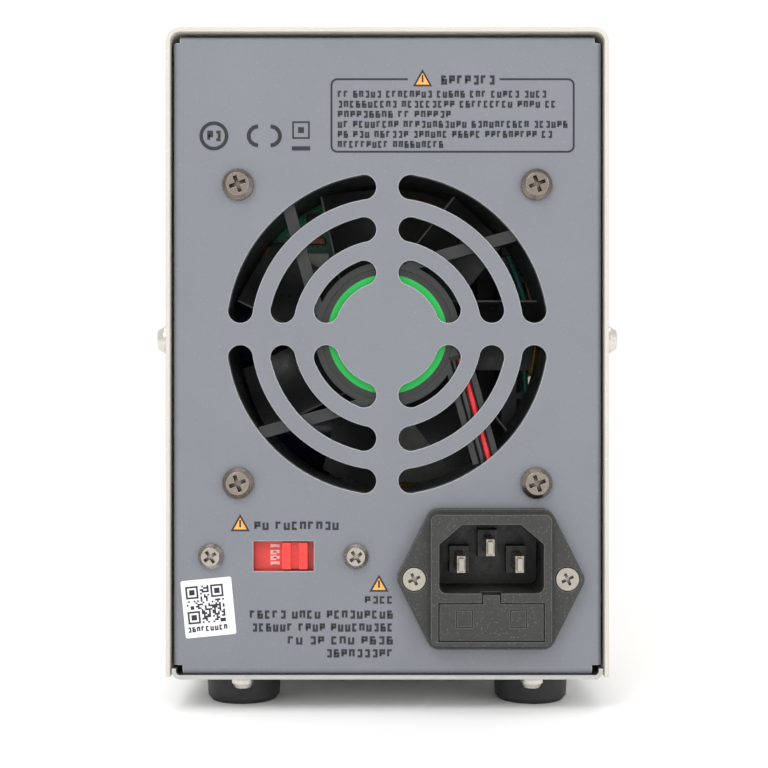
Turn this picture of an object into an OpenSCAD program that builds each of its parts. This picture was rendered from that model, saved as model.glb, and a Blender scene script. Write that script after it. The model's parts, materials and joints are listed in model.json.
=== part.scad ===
// Bench power supply: a compact upright single-output linear supply.
// Millimetres, +Z up, front towards -Y, rear towards +Y, standing on its feet at z = 0.

/* [Case] */
// Width over the cover
case_w = 106; // [104:1:120]
// Height of the case without its feet
case_h = 156; // [154:1:180]
// Length of bezel and cover together
case_d = 242; // [238:1:290]
// Thickness of the sheet steel
sheet = 1; // [0.8:0.1:1.2]
// Bend radius along the top edges of the cover
cover_r = 3.5; // [2.5:0.5:5]
// How far the rear panel sits inside the cover's edge
panel_inset = 1; // [0.5:0.1:2]
// Gap between the rear panel and the cover
panel_gap = 0.6; // [0.5:0.1:0.8]
// Louvres on the top of the cover
louvre_count = 6; // [3:1:8]
// Width of a louvre
louvre_w = 58; // [40:1:70]

/* [Feet] */
// Height of a foot
foot_h = 8; // [7:0.5:12]
// Diameter of a foot at the case
foot_d = 18.8; // [16:0.1:20]
// Distance between the left and right feet
foot_span = 72; // [66:1:76]

/* [Fan] */
// Side of the square fan
fan_size = 80; // [80:0.5:81]
// Distance between the fan's screws
fan_pitch = 71.5; // [71.3:0.1:71.7]
// Depth of the fan
fan_depth = 25; // [20:1:25]
// Height of the fan's axis over the case bottom
fan_height = 82.7; // [80:0.1:100]
// Blades on the rotor
blade_count = 7; // [5:1:7]
// Mean radius of the innermost grille slot
slot_first_r = 15.7; // [15:0.1:16]
// Radial step from one grille slot to the next
slot_step = 10; // [9.5:0.1:10]
// Width of a grille slot
slot_w = 6; // [5:0.1:6.5]

/* [Mains inlet] */
// Sideways place of the inlet
inlet_x = -24.65; // [-26:0.05:-22]
// Height of the inlet's middle over the case bottom
inlet_height = 24.2; // [23:0.1:26]
// Distance between the inlet's screws
inlet_pitch = 36.5; // [36:0.1:40]
// Travel of the fuse drawer
drawer_travel = 18; // [10:1:18]

/* [Mains selector] */
// Sideways place of the selector's window
selector_x = 24.9; // [23:0.1:26]
// Height of the selector over the case bottom
selector_height = 29.4; // [26:0.1:32]
// Travel of the selector's slider
selector_travel = 6.3; // [5:0.1:6.3]

/* [Front panel] */
// Depth of the plastic bezel
bezel_d = 22; // [22:1:26]
// Distance between binding posts
post_pitch = 19.05; // [19:0.01:19.1]
// Diameter of the control knob
knob_d = 26; // [20:1:30]
// Flutes round the control knob
knob_flutes = 20; // [12:1:24]

/* [Hidden] */
$fn = 48;
eps = 0.1;

// Along Y the case is placed so that the knob's and the inlet's faces are equally far from y = 0.
knob_reach = 17.5;
inlet_stand = 4.6;
y_rear = (case_d + knob_reach - inlet_stand + panel_inset) / 2;
y_face = y_rear - case_d;
y_panel = y_rear - panel_inset;
y_inside = y_panel - sheet;
y_inlet = y_panel + inlet_stand;
z_base = foot_h;
z_floor = z_base + sheet;
z_top = z_base + case_h;

// Base tray: a channel that fits inside the cover
tray_half = case_w / 2 - sheet - 0.4;
tray_side_h = 14;
tray_bend = 2;
tray_stub_h = 2.6;
y_front_plate = y_face + bezel_d - 3;

// Rear panel
panel_half = case_w / 2 - sheet - panel_gap;
panel_top = z_top - sheet - 0.9;
panel_bend = 1.4;
panel_flange = 11;
corner_top = 1.65;
corner_low = 2.3;
slot_count = 3;
bar_w = 5.3;

// Fan, in a frame of its own: z runs from the panel into the case
z_fan = z_base + fan_height;
duct_r = fan_size / 2 - 1.5;
hub_r = 17.5;
hub_face = 0.4;
hub_back = 3.4;
rim_w = 1.5;
label_r = 14.4;
strut_w = 2.9;
strut_offset = 14.6;
strut_turn = 74.2;
channel_w = 6.6;
cup_r = 16.5;
cup_start = 4.6;
cup_end = 24;
blade_r = duct_r - 0.9;
bearing_r = 1.55;
shaft_r = 1.5;

// Inlet
z_inlet = z_base + inlet_height;
cavity_w = 24.8;
cavity_h = 16.3;
cavity_up = 5.05;
cavity_depth = 17;
drawer_w = 24.6;
drawer_h = 8.6;
drawer_down = 9.95;
drawer_gap = 0.3;
fuse_r = 2.6;
fuse_l = 20;
fuse_places = [8.3, 15.2];
pin_rows = [[-7, 3.35], [7, 3.35], [0, 7.35]];

// Selector: its grip rests at the window's low-x end and travels towards +X
z_selector = z_base + selector_height;
window_w = 14.5;
window_h = 7.2;
grip_w = 6.1;
grip_from_edge = 1.5;
selector_pitch = 34.8;
grip_x = selector_x - window_w / 2 + grip_from_edge + grip_w / 2;
skirt_half = 10.8;
cavity_mid = grip_x + selector_travel / 2;

// Screws and their places; those of the cover are [y, z]
screw_r = 1.5;
base_screw_x = 35;
base_screw_y = [y_rear - 4.5, y_front_plate + 6];
foot_y = [y_rear - 17.5, y_face + 38];
cover_screw_places = [[y_rear - 8, z_base + 81.5], [y_rear - 60, z_base + 9.5],
    [y_face + 42, z_base + 9.5]];

// Front panel places, as [x, z] over the case bottom
window_place = [0, 126];
window_size = [76, 46];
knob_place = [26, 78];
button_place = [-36, 28];
post_x0 = -5;
post_z = z_base + 28;
key_places = [[-37, 86], [-15, 86], [-37, 70], [-15, 70]];
key_size = [14, 8.5];
face_t = 3.4;
board_front = y_face + 12.6;
board_t = 1.6;
shaft_half = 3;
rotor_y = [board_front - 4.9, board_front - 2.5];
d_flat = 2.1;

// Transformer
tr_x = -4;
tr_y = -25.5;
tr_len = 96;
tr_high = 80;
tr_stack = 45;
tr_leg = 16;
coil_low = tr_leg + 0.2;
coil_high = tr_high - tr_leg - 0.2;
leg_half = [tr_stack / 2, tr_leg];
strap_t = 1.5;
strap_hole_x = 16;
strap_hole_y = 7;
strap_foot = 11;

// Inner boards
main_x = 44;
main_y = [-50, 96];
main_z = [46, 148];
sink_y = [36, 96];
sink_z = [52, 140];
sink_x = -30;
wire_steps = 4;
wire_sides = 8;

// ---------- shared shapes ----------

// A rounded rectangle about the origin
module round_rect(w, h, r) {
    square([w - 2 * r, h], center = true);
    square([w, h - 2 * r], center = true);
    for (sx = [-1, 1], sz = [-1, 1])
        translate([sx * (w / 2 - r), sz * (h / 2 - r)])
            circle(r);
}

// An angle section: outer corner at the origin, arms of length a along x and b along y
module angle_2d(a, b, t, r) {
    translate([r, 0])
        square([a - r, t]);
    translate([0, r])
        square([t, b - r]);
    intersection() {
        translate([r, r])
            difference() {
                circle(r);
                circle(r - t);
            }
        square([r, r]);
    }
}

// A channel section that opens upwards, centred on x
module channel_2d(w, h, t, r) {
    for (side = [0, 1])
        mirror([side, 0])
            translate([-w / 2, 0])
                angle_2d(w / 2, h, t, r);
}

// Turns an outline in x and z into a plate that starts at y0 and is t thick
module plate_xz(y0, t) {
    translate([0, y0 + t, 0])
        rotate([90, 0, 0])
            linear_extrude(t)
                children();
}

// Turns an outline in y and z into a plate that starts at x0 and is t thick
module plate_yz(x0, t) {
    translate([x0, 0, 0])
        rotate([90, 0, 90])
            linear_extrude(t)
                children();
}

// A front panel place, raised by the feet
function over_base(place) = [place[0], place[1] + z_base];

// A round bar along Y at [x, z]
module bar_y(place, y0, y1, r) {
    translate([place[0], y0, place[1]])
        rotate([-90, 0, 0])
            cylinder(r = r, h = y1 - y0);
}

// A round bar along X at [y, z]
module bar_x(place, x0, x1, r) {
    translate([x0, place[0], place[1]])
        rotate([0, 90, 0])
            cylinder(r = r, h = x1 - x0);
}

// A pan head screw along +Z: the head's seat is at z = 0 and the shank points down
module pan_screw(head_r, head_h, shank_r, shank_l) {
    difference() {
        union() {
            cylinder(r = head_r, h = head_h * 0.45);
            translate([0, 0, head_h * 0.45])
                cylinder(r1 = head_r, r2 = head_r * 0.72, h = head_h * 0.55);
            translate([0, 0, -shank_l])
                cylinder(r = shank_r, h = shank_l);
        }
        for (turn = [0, 90])
            rotate(turn)
                translate([-head_r * 0.55, -head_r * 0.13, head_h * 0.4])
                    cube([head_r * 1.1, head_r * 0.26, head_h]);
    }
}

// The smooth route of a wire: a curve through its points, with a few steps between each pair
function unit(v) = v / norm(v);
function curve(a, b, c, d, t) = 0.5 * (2 * b + (c - a) * t + (2 * a - 5 * b + 4 * c - d) * t * t
    + (3 * b - a - 3 * c + d) * t * t * t);
function route(p, last) = concat([for (i = [0:last - 1], k = [0:wire_steps - 1])
    curve(p[max(i - 1, 0)], p[i], p[i + 1], p[min(i + 2, last)], k / wire_steps)], [p[last]]);
function headings(q, last) = [for (i = [0:last]) unit(q[min(i + 1, last)] - q[max(i - 1, 0)])];
function sideways(v, t) = unit(v - (v * t) * t);
function frames(t, last) = [for (i = 0, n = sideways([0.3, 0.5, 0.8], t[0]); i <= last;
    i = i + 1, n = sideways(n, t[min(i, last)])) n];

// A wire of radius r along a list of points
module wire(points, r) {
    path = route(points, len(points) - 1);
    last = len(path) - 1;
    t = headings(path, last);
    n = frames(t, last);
    rings = [for (i = [0:last], k = [0:wire_sides - 1]) path[i]
        + r * (cos(360 * k / wire_sides) * n[i] + sin(360 * k / wire_sides) * cross(t[i], n[i]))];
    walls = [for (i = [0:last - 1], k = [0:wire_sides - 1]) let (j = (k + 1) % wire_sides)
        [i * wire_sides + k, (i + 1) * wire_sides + k, (i + 1) * wire_sides + j,
            i * wire_sides + j]];
    ends = [[for (k = [0:wire_sides - 1]) k],
        [for (k = [0:wire_sides - 1]) last * wire_sides + wire_sides - 1 - k]];
    polyhedron(rings, concat(walls, ends), convexity = 4);
}

// ---------- case ----------

module base_tray() {
    color("silver")
        difference() {
            union() {
                translate([0, 0, z_base])
                    plate_xz(y_front_plate, y_panel - panel_flange - 1 - y_front_plate)
                        channel_2d(2 * tray_half, tray_side_h, sheet, tray_bend);
                translate([0, 0, z_base])
                    plate_xz(y_panel - panel_flange - 1 - eps, panel_flange + panel_inset + 0.9)
                        channel_2d(2 * tray_half, tray_stub_h, sheet, tray_bend);
            }
            for (side = [-1, 1]) {
                for (y = foot_y)
                    translate([side * foot_span / 2, y, z_base - eps])
                        cylinder(r = screw_r + 0.2, h = 3);
                for (y = base_screw_y)
                    translate([side * base_screw_x, y, z_base - eps])
                        cylinder(r = screw_r + 0.2, h = 3);
                for (end = [-1, 1])
                    translate([tr_x + side * strap_hole_x,
                        tr_y + end * (tr_len / 2 + strap_hole_y), z_base - eps])
                        cylinder(r = screw_r + 0.1, h = 3);
                for (place = [cover_screw_places[1], cover_screw_places[2]])
                    bar_x(place, side * tray_half - 2, side * tray_half + 2, screw_r + 0.1);
            }
            for (i = [0:5])
                translate([0, 34 + 9 * i, z_base - eps])
                    linear_extrude(3)
                        round_rect(40, 3.4, 1.65);
        }
}

// The fan grille: three rings of rounded slots in each quarter. The round ends are a touch wider
// than the arc, so that they cross it at an angle
module grille_cuts() {
    arc_w = slot_w - 0.08;
    for (ring = [0:slot_count - 1], quarter = [0:3]) {
        mean_r = slot_first_r + ring * slot_step;
        edge = asin((bar_w + slot_w) / 2 / mean_r);
        rotate(90 * quarter + edge) {
            rotate_extrude(angle = 90 - 2 * edge)
                translate([mean_r - arc_w / 2, -1])
                    square([arc_w, sheet + 2]);
            for (end = [0, 90 - 2 * edge])
                rotate(end)
                    translate([mean_r, 0, -1])
                        cylinder(r = slot_w / 2, h = sheet + 2);
        }
    }
}

module rear_panel() {
    side_h = panel_top - corner_top - z_floor - corner_low;
    color("lightslategray")
        difference() {
            union() {
                // Face with its side flanges, folded into the case
                translate([0, y_panel, z_floor + corner_low])
                    mirror([0, 1, 0])
                        linear_extrude(side_h)
                            channel_2d(2 * panel_half, panel_flange, sheet, panel_bend);
                // Top flange, with the face down to the side flanges' upper end
                translate([0, y_panel, panel_top])
                    rotate([0, 0, 180])
                        plate_yz(-panel_half + corner_top, 2 * (panel_half - corner_top))
                            mirror([0, 1])
                                angle_2d(panel_flange, corner_top + 1, sheet, panel_bend);
                // Bottom flange, which lies on the tray
                translate([0, y_panel, z_floor])
                    rotate([0, 0, 180])
                        plate_yz(-panel_half + corner_low, 2 * (panel_half - corner_low))
                            angle_2d(panel_flange, corner_low + 1, sheet, panel_bend);
            }
            translate([0, y_panel, z_fan])
                rotate([90, 0, 0])
                    grille_cuts();
            for (sx = [-1, 1], sz = [-1, 1])
                bar_y([sx * fan_pitch / 2, z_fan + sz * fan_pitch / 2], y_inside - 1, y_panel + 1,
                    2.2);
            translate([selector_x, 0, z_selector])
                plate_xz(y_inside - 1, sheet + 2)
                    square([window_w, window_h], center = true);
            for (side = [-1, 1])
                bar_y([selector_x + side * selector_pitch / 2, z_selector], y_inside - 1,
                    y_panel + 1, 1.6);
            translate([inlet_x, 0, z_inlet])
                plate_xz(y_inside - 1, sheet + 2)
                    round_rect(27.8, 30, 1);
            for (side = [-1, 1])
                bar_y([inlet_x + side * inlet_pitch / 2, z_inlet], y_inside - 1, y_panel + 1, 1.7);
            for (side = [-1, 1]) {
                bar_x(cover_screw_places[0], side * panel_half - 2, side * panel_half + 2,
                    screw_r + 0.1);
                translate([side * base_screw_x, base_screw_y[0], z_floor - 1])
                    cylinder(r = screw_r + 0.1, h = 3);
            }
        }
}

// A pressed louvre: an arched hood with round ends, open along its front edge
module louvre(rise, thick) {
    arc_r = 6;
    module hood_2d() {
        intersection() {
            translate([0, rise - arc_r])
                difference() {
                    circle(arc_r);
                    circle(arc_r - thick);
                }
            translate([0, -0.4])
                square([arc_r, rise + 1]);
        }
    }
    plate_yz(-louvre_w / 2, louvre_w)
        hood_2d();
    for (side = [0, 1])
        mirror([side, 0, 0])
            translate([louvre_w / 2, 0, 0])
                rotate_extrude(angle = 90)
                    hood_2d();
}

module top_cover() {
    side_low = z_base + 0.6;
    louvre_pitch = 10;
    louvre_y0 = y_rear - 14.5;
    color("linen")
        difference() {
            union() {
                translate([0, 0, z_top])
                    plate_xz(y_front_plate + 0.2, y_rear - y_front_plate - 0.2)
                        mirror([0, 1])
                            channel_2d(case_w, z_top - side_low, sheet, cover_r);
                for (i = [0:louvre_count - 1])
                    translate([0, louvre_y0 - i * louvre_pitch, z_top])
                        louvre(2.9, 0.9);
            }
            // The slot that each louvre opens from
            for (i = [0:louvre_count - 1])
                translate([-louvre_w / 2, louvre_y0 - i * louvre_pitch, z_top - sheet - 1])
                    cube([louvre_w, 2.6, sheet + 1.4]);
            for (side = [-1, 1], place = cover_screw_places)
                bar_x(place, side * case_w / 2 - 2, side * case_w / 2 + 2, screw_r + 0.2);
            // Side vents near the transformer
            for (side = [-1, 1], row = [0:7])
                translate([0, tr_y, z_base + 30 + 7 * row])
                    plate_yz(side * case_w / 2 - 2, 4)
                        round_rect(46, 3, 1.45);
        }
}

module foot(y, side) {
    translate([side * foot_span / 2, y, 0])
        difference() {
            union() {
                cylinder(r1 = foot_d / 2 - 1.3, r2 = foot_d / 2 - 0.5, h = 1);
                translate([0, 0, 1])
                    cylinder(r1 = foot_d / 2 - 0.5, r2 = foot_d / 2, h = foot_h - 1);
            }
            translate([0, 0, -eps])
                cylinder(r = 4.6, h = foot_h - 3);
            cylinder(r = screw_r + 0.2, h = foot_h + 1);
        }
}

module feet() {
    color([0.09, 0.09, 0.09])
        for (side = [-1, 1], y = foot_y)
            foot(y, side);
}

// Pan head screws: four with washers at the tray's ends, one in each foot, four at the transformer
module base_screws() {
    color("silver") {
        for (side = [-1, 1], y = base_screw_y)
            translate([side * base_screw_x, y, z_base])
                rotate([180, 0, 0]) {
                    cylinder(r = 2.75, h = 0.6);
                    translate([0, 0, 0.6])
                        pan_screw(2.7, 2.1, screw_r, 3.4);
                }
        for (side = [-1, 1], y = foot_y)
            translate([side * foot_span / 2, y, foot_h - 3 - eps])
                rotate([180, 0, 0])
                    pan_screw(3.2, 2.4, screw_r, 6);
        for (sx = [-1, 1], sy = [-1, 1])
            translate([tr_x + sx * strap_hole_x, tr_y + sy * (tr_len / 2 + strap_hole_y),
                z_floor + strap_t])
                pan_screw(3.2, 2.4, screw_r, strap_t + sheet);
    }
}

module cover_screws() {
    color("silver")
        for (side = [-1, 1], place = cover_screw_places)
            translate([side * case_w / 2, place[0], place[1]])
                rotate([0, side * 90, 0])
                    pan_screw(3.4, 2.9, screw_r, 4.6);
}

module serial_sticker() {
    color("white")
        translate([42.9, 0, z_base + 17.1])
            plate_xz(y_panel, 0.12)
                rotate(-5.5)
                    round_rect(12.2, 13.8, 0.5);
}

// ---------- fan, in a frame where z runs into the case ----------

module fan_place() {
    translate([0, y_inside, z_fan])
        rotate([90, 0, 0])
            children();
}

module fan_plate(z0, t) {
    translate([0, 0, z0])
        linear_extrude(t)
            difference() {
                round_rect(fan_size, fan_size, 4);
                circle(duct_r);
                for (sx = [-1, 1], sy = [-1, 1])
                    translate([sx, sy] * fan_pitch / 2)
                        circle(2.2);
            }
}

module strut(turn, w, thick) {
    rotate(strut_turn + turn)
        translate([9, -strut_offset - w / 2, hub_face])
            cube([27, w, thick]);
}

module fan_frame() {
    flange_t = 4;
    color([0.08, 0.08, 0.08])
        fan_place()
            difference() {
                union() {
                    fan_plate(0, flange_t);
                    fan_plate(fan_depth - flange_t, flange_t);
                    difference() {
                        cylinder(r = fan_size / 2, h = fan_depth);
                        translate([0, 0, -1])
                            cylinder(r = duct_r, h = fan_depth + 2);
                    }
                    translate([0, 0, hub_face])
                        cylinder(r = hub_r, h = hub_back - hub_face);
                    for (turn = [0, 90, 270])
                        strut(turn, strut_w, 4);
                    strut(180, channel_w, 4);
                    // Bearing tube
                    translate([0, 0, hub_back - 1])
                        cylinder(r = 3.4, h = 15.6);
                }
                translate([0, 0, hub_face - 1])
                    cylinder(r = hub_r - rim_w, h = 1.5);
                // Groove for the two leads, from the hub to the frame's lower edge
                rotate(strut_turn + 180)
                    translate([9.5, -strut_offset - 1.9, hub_face - 1])
                        cube([42, 3.8, 3.1]);
                translate([0, 0, hub_back])
                    cylinder(r = bearing_r, h = 20);
            }
}

module fan_stator() {
    color("peru")
        fan_place()
            translate([0, 0, hub_back + 1.6])
                difference() {
                    cylinder(r = 12.5, h = 12);
                    translate([0, 0, -1])
                        cylinder(r = 3.4, h = 14);
                    for (turn = [45:90:315])
                        rotate(turn)
                            translate([6, -2, -1])
                                cube([8, 4, 14]);
                }
}

module fan_label() {
    color([0.13, 0.75, 0.35])
        fan_place()
            translate([0, 0, hub_face + 0.3])
                cylinder(r = label_r, h = 0.2);
}

// One blade: a cambered plate that leans along the axis
module blade() {
    camber_r = 24;
    blade_t = 1.2;
    intersection() {
        difference() {
            plate_yz(12, 27)
                intersection() {
                    translate([13.8, -1.9])
                        difference() {
                            circle(camber_r + blade_t / 2);
                            circle(camber_r - blade_t / 2);
                        }
                    translate([-8.5, 6.4])
                        square([17, 15.4]);
                }
            cylinder(r = cup_r - 0.8, h = fan_depth);
        }
        cylinder(r = blade_r, h = fan_depth);
    }
}

module fan_rotor() {
    wall = 1.3;
    color([0.11, 0.11, 0.11])
        fan_place() {
            difference() {
                translate([0, 0, cup_start])
                    cylinder(r = cup_r, h = cup_end - cup_start);
                translate([0, 0, cup_start - 1])
                    cylinder(r = cup_r - wall, h = cup_end - cup_start + 1 - wall);
                translate([0, 0, cup_end - wall - 1])
                    cylinder(r = shaft_r, h = wall + 2);
            }
            for (i = [0:blade_count - 1])
                rotate(360 / blade_count * (i + 0.5))
                    blade();
        }
}

module fan_shaft() {
    color("silver")
        fan_place()
            translate([0, 0, hub_back + 0.4])
                cylinder(r = shaft_r, h = cup_end - hub_back - 0.4);
}

module fan_screws() {
    color("rosybrown")
        for (sx = [-1, 1], sz = [-1, 1])
            translate([sx * fan_pitch / 2, y_panel, z_fan + sz * fan_pitch / 2])
                rotate([-90, 0, 0])
                    rotate(20)
                        pan_screw(3.75, 2.2, 2, 9);
}

// Two leads: out of the hub, along the wide strut, under the frame and across to the board
module fan_leads() {
    along = [-cos(strut_turn), -sin(strut_turn)];
    across = [-sin(strut_turn), cos(strut_turn)];
    lead_y = y_inside - 1.5;
    under = z_fan - fan_size / 2 - 1.9;
    color("firebrick")
        for (side = [-1, 1]) {
            shift = strut_offset + side * 0.85;
            groove = [for (s = [10.5, 28, 40, 45]) along * s + across * shift];
            out = along * 47 + across * shift;
            wire(concat([for (p = groove) [p[0], lead_y, z_fan + p[1]]], [
                [out[0], lead_y - 1, under],
                [out[0], lead_y - 4, under],
                [out[0], lead_y - 14, under],
                [out[0] + 1, 96, under],
                [-4, 80 - 2 * side, under],
                [30, 70 - 2 * side, under + 1],
                [main_x - 0.8, 66 - 2 * side, under + 2]]), 0.7);
        }
}

// ---------- mains inlet ----------

module inlet_outline() {
    hull() {
        for (sx = [-1, 1], sz = [-1, 1])
            translate([sx * 12.4, sz * 13.75])
                circle(3);
        for (sx = [-1, 1])
            translate([sx * 19.45, 0])
                circle(2.9);
    }
}

module cavity_2d() {
    w = cavity_w / 2;
    h = cavity_h / 2;
    chamfer = [5.4, 4.65];
    low_r = 1.8;
    polygon([[low_r - w, -h], [w - low_r, -h], [w, low_r - h], [w, h - chamfer[1]],
        [w - chamfer[0], h], [chamfer[0] - w, h], [-w, h - chamfer[1]], [-w, low_r - h]]);
    for (side = [-1, 1])
        translate([side * (w - low_r), low_r - h])
            circle(low_r);
}

module inlet_housing() {
    flange_t = 2.6;
    body_d = 28;
    y_floor = y_inlet - cavity_depth;
    color([0.16, 0.16, 0.15])
        translate([inlet_x, 0, z_inlet]) {
            difference() {
                union() {
                    plate_xz(y_panel, flange_t)
                        inlet_outline();
                    plate_xz(y_panel + flange_t, inlet_stand - flange_t)
                        round_rect(28.6, 31, 1.6);
                    plate_xz(y_panel - body_d, body_d + eps)
                        round_rect(27.4, 29.6, 1);
                }
                plate_xz(y_floor, cavity_depth + 1)
                    translate([0, cavity_up])
                        cavity_2d();
                plate_xz(y_inlet - 24, 25)
                    translate([0, -drawer_down])
                        square([drawer_w + 2 * drawer_gap, drawer_h + 2 * drawer_gap],
                            center = true);
                // Notch for the drawer's finger tab
                plate_xz(y_inlet - 4, 5)
                    translate([0, -drawer_down + drawer_h / 2 + 1.5])
                        square([4.6, 3.4], center = true);
                for (pin = pin_rows)
                    plate_xz(y_panel - body_d - 1, body_d)
                        translate(pin)
                            square([2, 4], center = true);
                for (side = [-1, 1])
                    translate([side * inlet_pitch / 2, y_panel, 0])
                        rotate([-90, 0, 0]) {
                            translate([0, 0, -1])
                                cylinder(r = 1.6, h = flange_t + 2);
                            translate([0, 0, flange_t - 1.5])
                                cylinder(r1 = 1.6, r2 = 3.1, h = 1.5 + eps / 2);
                        }
            }
            // A boss round the root of each pin
            for (pin = pin_rows)
                plate_xz(y_floor - eps, 4 + eps)
                    translate(pin)
                        difference() {
                            square([4.8, 6.6], center = true);
                            square([2, 4], center = true);
                        }
        }
}

// Three blades with their rear tabs, and the two fuse contacts over the drawer
module inlet_pins() {
    color("silver")
        translate([inlet_x, 0, z_inlet]) {
            for (pin = pin_rows) {
                plate_xz(y_panel - 29, y_inlet - 3.5 - y_panel + 29)
                    translate(pin)
                        square([2, 4], center = true);
                plate_xz(y_inlet - 3.5, 1)
                    translate(pin)
                        square([1.2, 3], center = true);
                plate_xz(y_panel - 37, 8)
                    translate(pin)
                        square([0.8, 4], center = true);
            }
            for (side = [-1, 1])
                translate([side * 8.5, y_inlet - 15.5, -drawer_down + drawer_h / 2 - 0.9])
                    translate([-1.5, -2.5, 0])
                        cube([3, 5, 1.2]);
        }
}

module inlet_screws() {
    color("silver")
        for (side = [-1, 1])
            translate([inlet_x + side * inlet_pitch / 2, y_panel, z_inlet]) {
                rotate([-90, 0, 0])
                    difference() {
                        union() {
                            translate([0, 0, -7])
                                cylinder(r = 1.5, h = 8.4);
                            translate([0, 0, 1.3])
                                cylinder(r1 = 1.5, r2 = 2.75, h = 1.25);
                        }
                        for (turn = [25, 115])
                            rotate(turn)
                                translate([-1.5, -0.35, 1.7])
                                    cube([3, 0.7, 1]);
                    }
                // Nut behind the panel
                translate([0, -sheet - 0.1, 0])
                    rotate([90, 0, 0])
                        difference() {
                            cylinder(r = 3.1, h = 2.2, $fn = 6);
                            translate([0, 0, -1])
                                cylinder(r = 1.5, h = 4);
                        }
            }
}

module fuse_drawer() {
    plate_t = 2.3;
    back = drawer_travel + 2.5;
    y0 = y_inlet - 0.1;
    color([0.15, 0.15, 0.14])
        translate([inlet_x, 0, z_inlet - drawer_down])
            difference() {
                union() {
                    plate_xz(y0 - plate_t, plate_t)
                        square([drawer_w, drawer_h], center = true);
                    plate_xz(y0 - plate_t, plate_t)
                        translate([0, drawer_h / 2 + 1])
                            square([4, 2.2], center = true);
                    // Floor and side walls that hold the working and the spare fuse
                    translate([-12, y0 - back, -drawer_h / 2 + 0.1])
                        cube([24, back - 1, 1.6]);
                    for (side = [-1, 1])
                        translate([side * 11.4 - 0.6, y0 - back, -drawer_h / 2 + 0.1])
                            cube([1.2, back - 1, 5]);
                    for (y = [4.4, 10.9, 19.6])
                        translate([-12, y0 - y - 0.9, -drawer_h / 2 + 0.1])
                            cube([24, 0.9, 3.4]);
                }
                // Two shallow marks on the face
                for (side = [-1, 1])
                    plate_xz(y0 - 0.25, 1)
                        translate([side * 6.4, 0.9])
                            difference() {
                                square([4, 4.4], center = true);
                                square([3.4, 3.8], center = true);
                            }
            }
}

module fuse_tubes() {
    color("lightcyan")
        for (y = fuse_places)
            difference() {
                bar_x([y_inlet - y, z_inlet - drawer_down], inlet_x - 9.3, inlet_x + 9.3, 2.2);
                bar_x([y_inlet - y, z_inlet - drawer_down], inlet_x - 10, inlet_x + 10, 1.7);
            }
}

module fuse_caps() {
    color("silver")
        for (y = fuse_places, side = [-1, 1])
            translate([inlet_x + side * fuse_l / 2, y_inlet - y, z_inlet - drawer_down])
                rotate([0, -side * 90, 0])
                    difference() {
                        cylinder(r = fuse_r, h = 5.5);
                        translate([0, 0, 0.7])
                            cylinder(r = 2.2, h = 6);
                    }
}

// ---------- mains selector ----------

module selector_body() {
    depth = 9;
    y0 = y_inside;
    cavity_half = skirt_half + selector_travel / 2 + 0.4;
    color([0.1, 0.1, 0.1])
        translate([0, 0, z_selector])
            difference() {
                union() {
                    plate_xz(y0 - 0.9, 0.9)
                        translate([selector_x, 0])
                            round_rect(43, 13.4, 2);
                    plate_xz(y0 - depth, depth)
                        translate([cavity_mid, 0])
                            square([2 * cavity_half + 1.8, 12.6], center = true);
                }
                plate_xz(y0 - 1.9, 3)
                    translate([selector_x, 0])
                        square([window_w + 0.8, window_h + 0.8], center = true);
                plate_xz(y0 - 5.5, 4.6)
                    translate([cavity_mid, 0])
                        square([2 * cavity_half, 10], center = true);
                for (side = [-1, 1])
                    bar_y([selector_x + side * selector_pitch / 2, 0], y0 - 2, y0 + 1, 1.5);
            }
}

module selector_slider() {
    rib_w = 2.05;
    y0 = y_inside;
    color([0.78, 0.07, 0.06])
        translate([grip_x, 0, z_selector]) {
            plate_xz(y0 - 4.2, 2.9)
                square([2 * skirt_half, 9.2], center = true);
            difference() {
                plate_xz(y0 - 1.4, 2.1)
                    round_rect(grip_w, 6.4, 0.3);
                plate_xz(y0 - 0.4, 2)
                    square([grip_w - 2 * rib_w, 7], center = true);
            }
        }
}

module selector_screws() {
    color("silver")
        for (side = [-1, 1])
            translate([selector_x + side * selector_pitch / 2, y_panel, z_selector])
                rotate([-90, 0, 0])
                    rotate(35)
                        pan_screw(3, 1.9, screw_r, 4);
}

// ---------- front ----------

module front_plate() {
    flange = 9.5;
    low = z_floor;
    high = z_top - sheet - 0.4;
    half = case_w / 2 - sheet - 1.6;
    color("silver")
        difference() {
            union() {
                plate_xz(y_front_plate + 0.2, sheet)
                    translate([-half, low])
                        square([2 * half, high - low]);
                translate([-half, y_front_plate + 0.2, low])
                    cube([2 * half, flange, sheet]);
                for (side = [-1, 1])
                    translate([side * (half - sheet / 2) - sheet / 2, y_front_plate + 0.2, low])
                        cube([sheet, flange, high - low]);
            }
            plate_xz(y_front_plate - 1, 4)
                translate(over_base(button_place))
                    square([15, 15], center = true);
            for (i = [0:2])
                bar_y([post_x0 + i * post_pitch, post_z], y_front_plate - 1, y_front_plate + 4, 6);
            plate_xz(y_front_plate - 1, 4)
                translate([0, z_base + 112])
                    round_rect(70, 16, 3);
            for (side = [-1, 1])
                translate([side * base_screw_x, base_screw_y[1], low - 1])
                    cylinder(r = screw_r + 0.1, h = 3);
        }
}

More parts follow.
